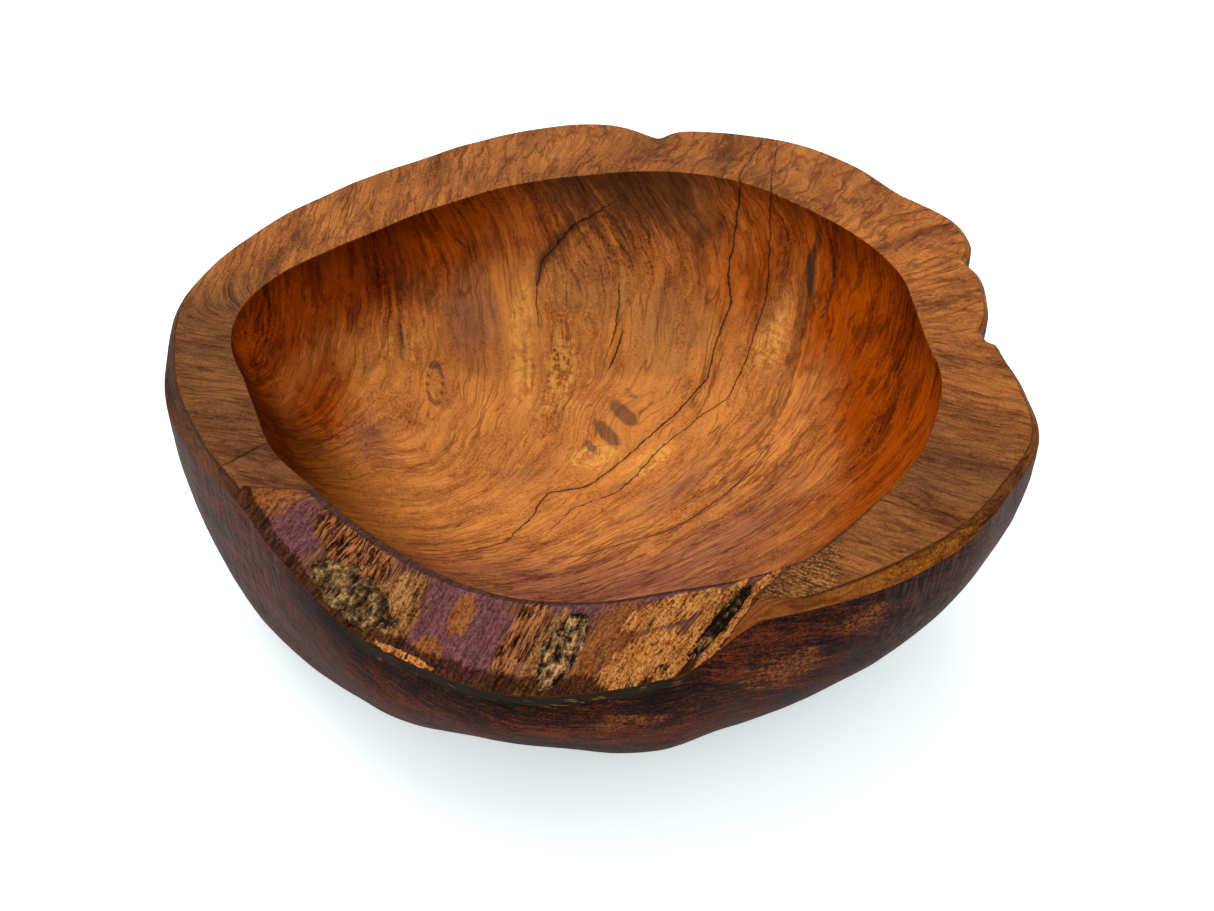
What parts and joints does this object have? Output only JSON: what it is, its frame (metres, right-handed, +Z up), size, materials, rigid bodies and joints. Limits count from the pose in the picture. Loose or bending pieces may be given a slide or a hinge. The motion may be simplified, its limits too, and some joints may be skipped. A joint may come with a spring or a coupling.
{
  "type": "carved wooden bowl",
  "caption": "Hand-carved root-wood bowl with a wide flat rim, a sloping live edge with bark remnants in front, and a flat foot.",
  "frame": {"origin": "middle of the bowl's outline, on the surface that it stands on", "axes": "+Z up out of the hollow, -Y towards the live edge, +X to the right of it"},
  "size_m": [0.2728, 0.2804, 0.083],
  "materials": {
    "wood": "oiled and varnished root wood, satin",
    "bark": "rough weathered bark under thin varnish"
  },
  "bodies": {
    "root": {"bowl": "wood", "bark_patch_left": "bark", "bark_vein_front": "bark", "bark_pocket_right": "bark"}
  },
  "joints": []
}
